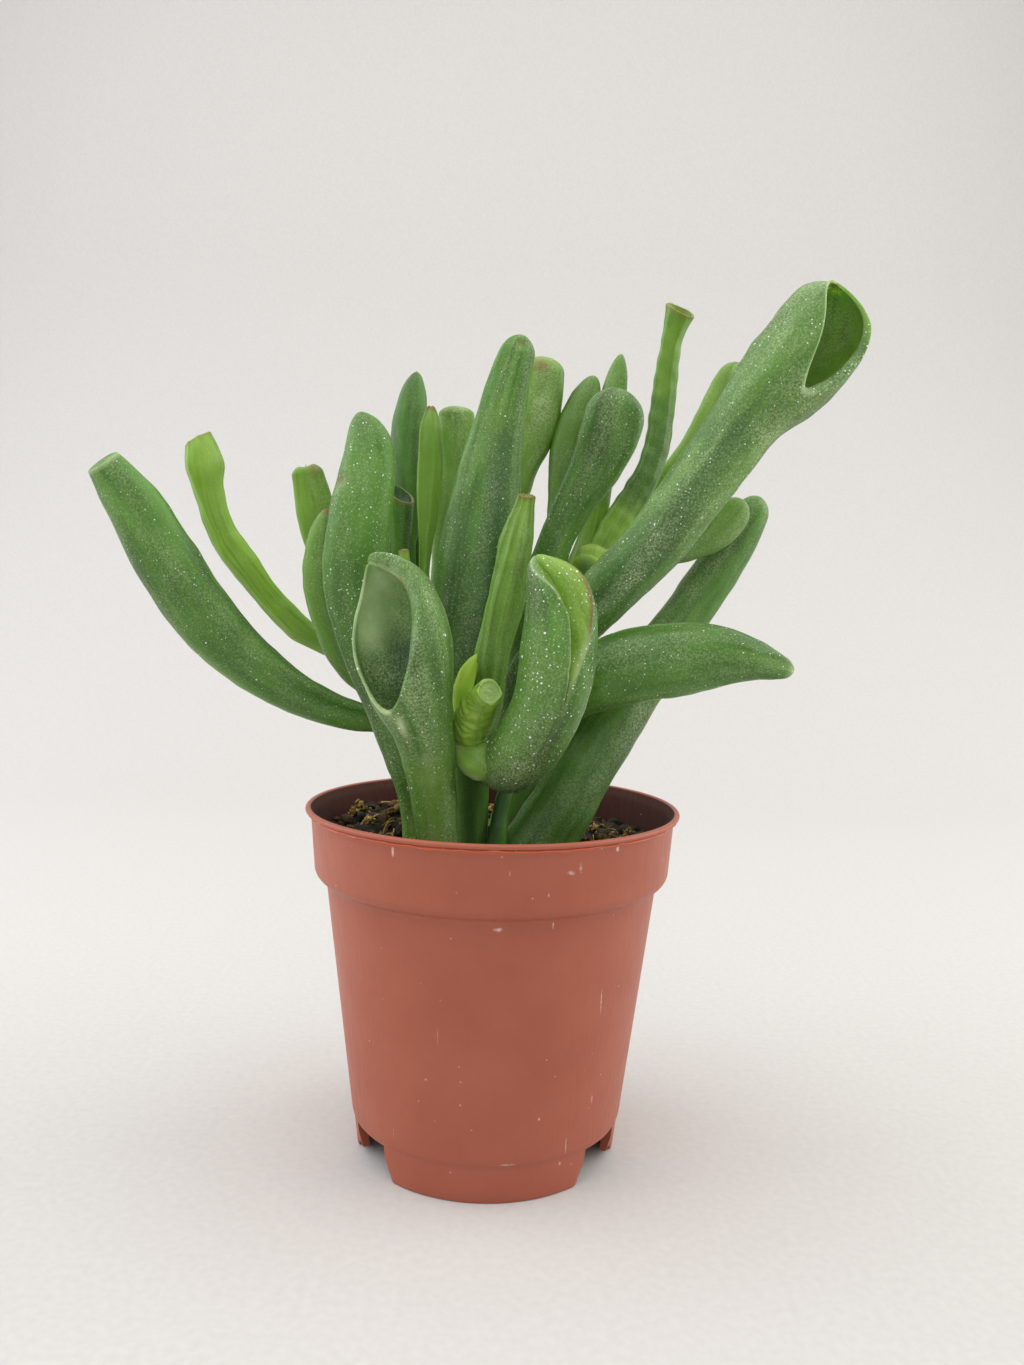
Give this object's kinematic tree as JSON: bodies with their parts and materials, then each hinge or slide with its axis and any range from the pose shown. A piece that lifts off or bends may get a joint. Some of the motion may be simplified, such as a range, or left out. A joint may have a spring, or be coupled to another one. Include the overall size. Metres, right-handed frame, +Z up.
{
  "type": "potted succulent",
  "caption": "Young branching succulent with long tube-shaped and trumpet-tipped leaves, growing in soil in a small terracotta-coloured tapered plastic nursery pot.",
  "frame": {"origin": "middle of the bounding box's footprint, on the plane that the pot's feet stand on", "axes": "+Z up along the pot's axis, which stands at X = +3.8 mm, Y = 0; -Y is the front that the viewer of the plant sees; +X to the right seen from the front"},
  "size_m": [0.1093, 0.055, 0.127],
  "materials": {
    "pot_plastic": "satin moulded plastic with light dust and scuffs",
    "potting_soil": "damp crumbly peat and bark",
    "stem_skin": "smooth green stem skin",
    "old_leaf_skin": "waxy dark green leaf skin with fine white specks",
    "young_leaf_skin": "glossy yellow-green leaf skin"
  },
  "bodies": {
    "root": {"pot": "pot_plastic", "soil": "potting_soil", "front_stem": "stem_skin", "right_stem": "stem_skin", "left_stem": "stem_skin", "node_stub": "young_leaf_skin", "near_trumpet_leaf": "old_leaf_skin", "front_folded_leaf": "old_leaf_skin", "swollen_base": "young_leaf_skin", "wrinkled_stub": "young_leaf_skin", "thin_bright_leaf": "young_leaf_skin", "small_yellow_leaf": "young_leaf_skin", "side_leaf": "old_leaf_skin", "right_trumpet_leaf": "old_leaf_skin", "centre_large_leaf": "old_leaf_skin", "tall_left_leaf": "old_leaf_skin", "long_right_leaf": "old_leaf_skin", "far_left_leaf": "old_leaf_skin", "left_dot_tip_leaf": "old_leaf_skin", "left_bright_leaf": "young_leaf_skin", "back_left_small_leaf": "young_leaf_skin", "small_cup_leaf": "old_leaf_skin", "back_dark_leaf": "old_leaf_skin", "red_tip_leaf": "young_leaf_skin", "olive_leaf": "old_leaf_skin", "back_pale_leaf": "old_leaf_skin", "purple_bud": "young_leaf_skin", "spatulate_leaf": "old_leaf_skin", "tall_thin_leaf": "young_leaf_skin", "node_back_leaf": "young_leaf_skin", "back_bright_leaf": "young_leaf_skin", "right_stub_leaf": "old_leaf_skin", "back_narrow_leaf": "old_leaf_skin", "corky_tip_leaf": "old_leaf_skin", "basal_leaf": "old_leaf_skin"}
  },
  "joints": []
}
